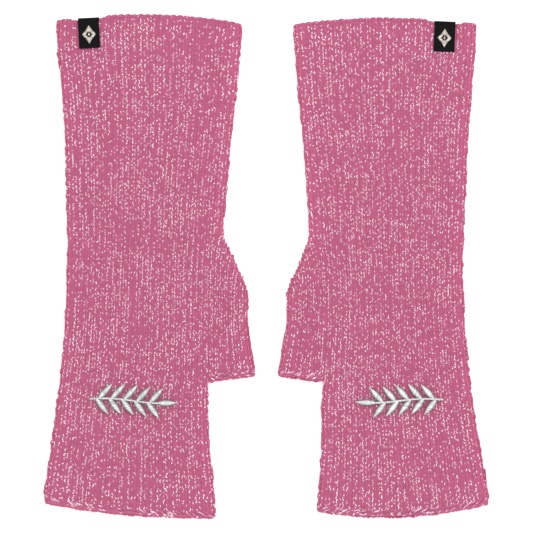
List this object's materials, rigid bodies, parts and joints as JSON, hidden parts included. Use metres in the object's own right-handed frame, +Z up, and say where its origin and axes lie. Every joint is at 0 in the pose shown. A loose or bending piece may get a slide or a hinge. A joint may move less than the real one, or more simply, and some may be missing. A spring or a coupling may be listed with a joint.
{
  "type": "fingerless mittens",
  "caption": "Pair of long rib-knit fingerless mittens laid flat, with gusseted stub thumbs, cuff labels and a raised leaf sprig on the back of each hand.",
  "frame": {"origin": "midway between the two mittens, at the bottom centre of the pair's box, on the surface they lie on", "axes": "+Y towards the cuffs, -Y towards the fingers; +Z up, out of the backs of the hands; +X towards the left-hand mitten, whose thumb points to -X"},
  "size_m": [0.2906, 0.3271, 0.0081],
  "materials": {
    "pink_knit": "soft matt rib knit in mottled pink yarn with white flecks",
    "black_label": "fine woven ribbon, slight sheen",
    "silver_thread": "glossy satin-stitch embroidery thread"
  },
  "bodies": {
    "root": {"right_hand_back_panel": "pink_knit", "right_hand_front_panel": "pink_knit", "right_hand_cuff_label": "black_label", "right_hand_satin_sprig": "silver_thread", "left_hand_back_panel": "pink_knit", "left_hand_front_panel": "pink_knit", "left_hand_cuff_label": "black_label", "left_hand_satin_sprig": "silver_thread"}
  },
  "joints": []
}
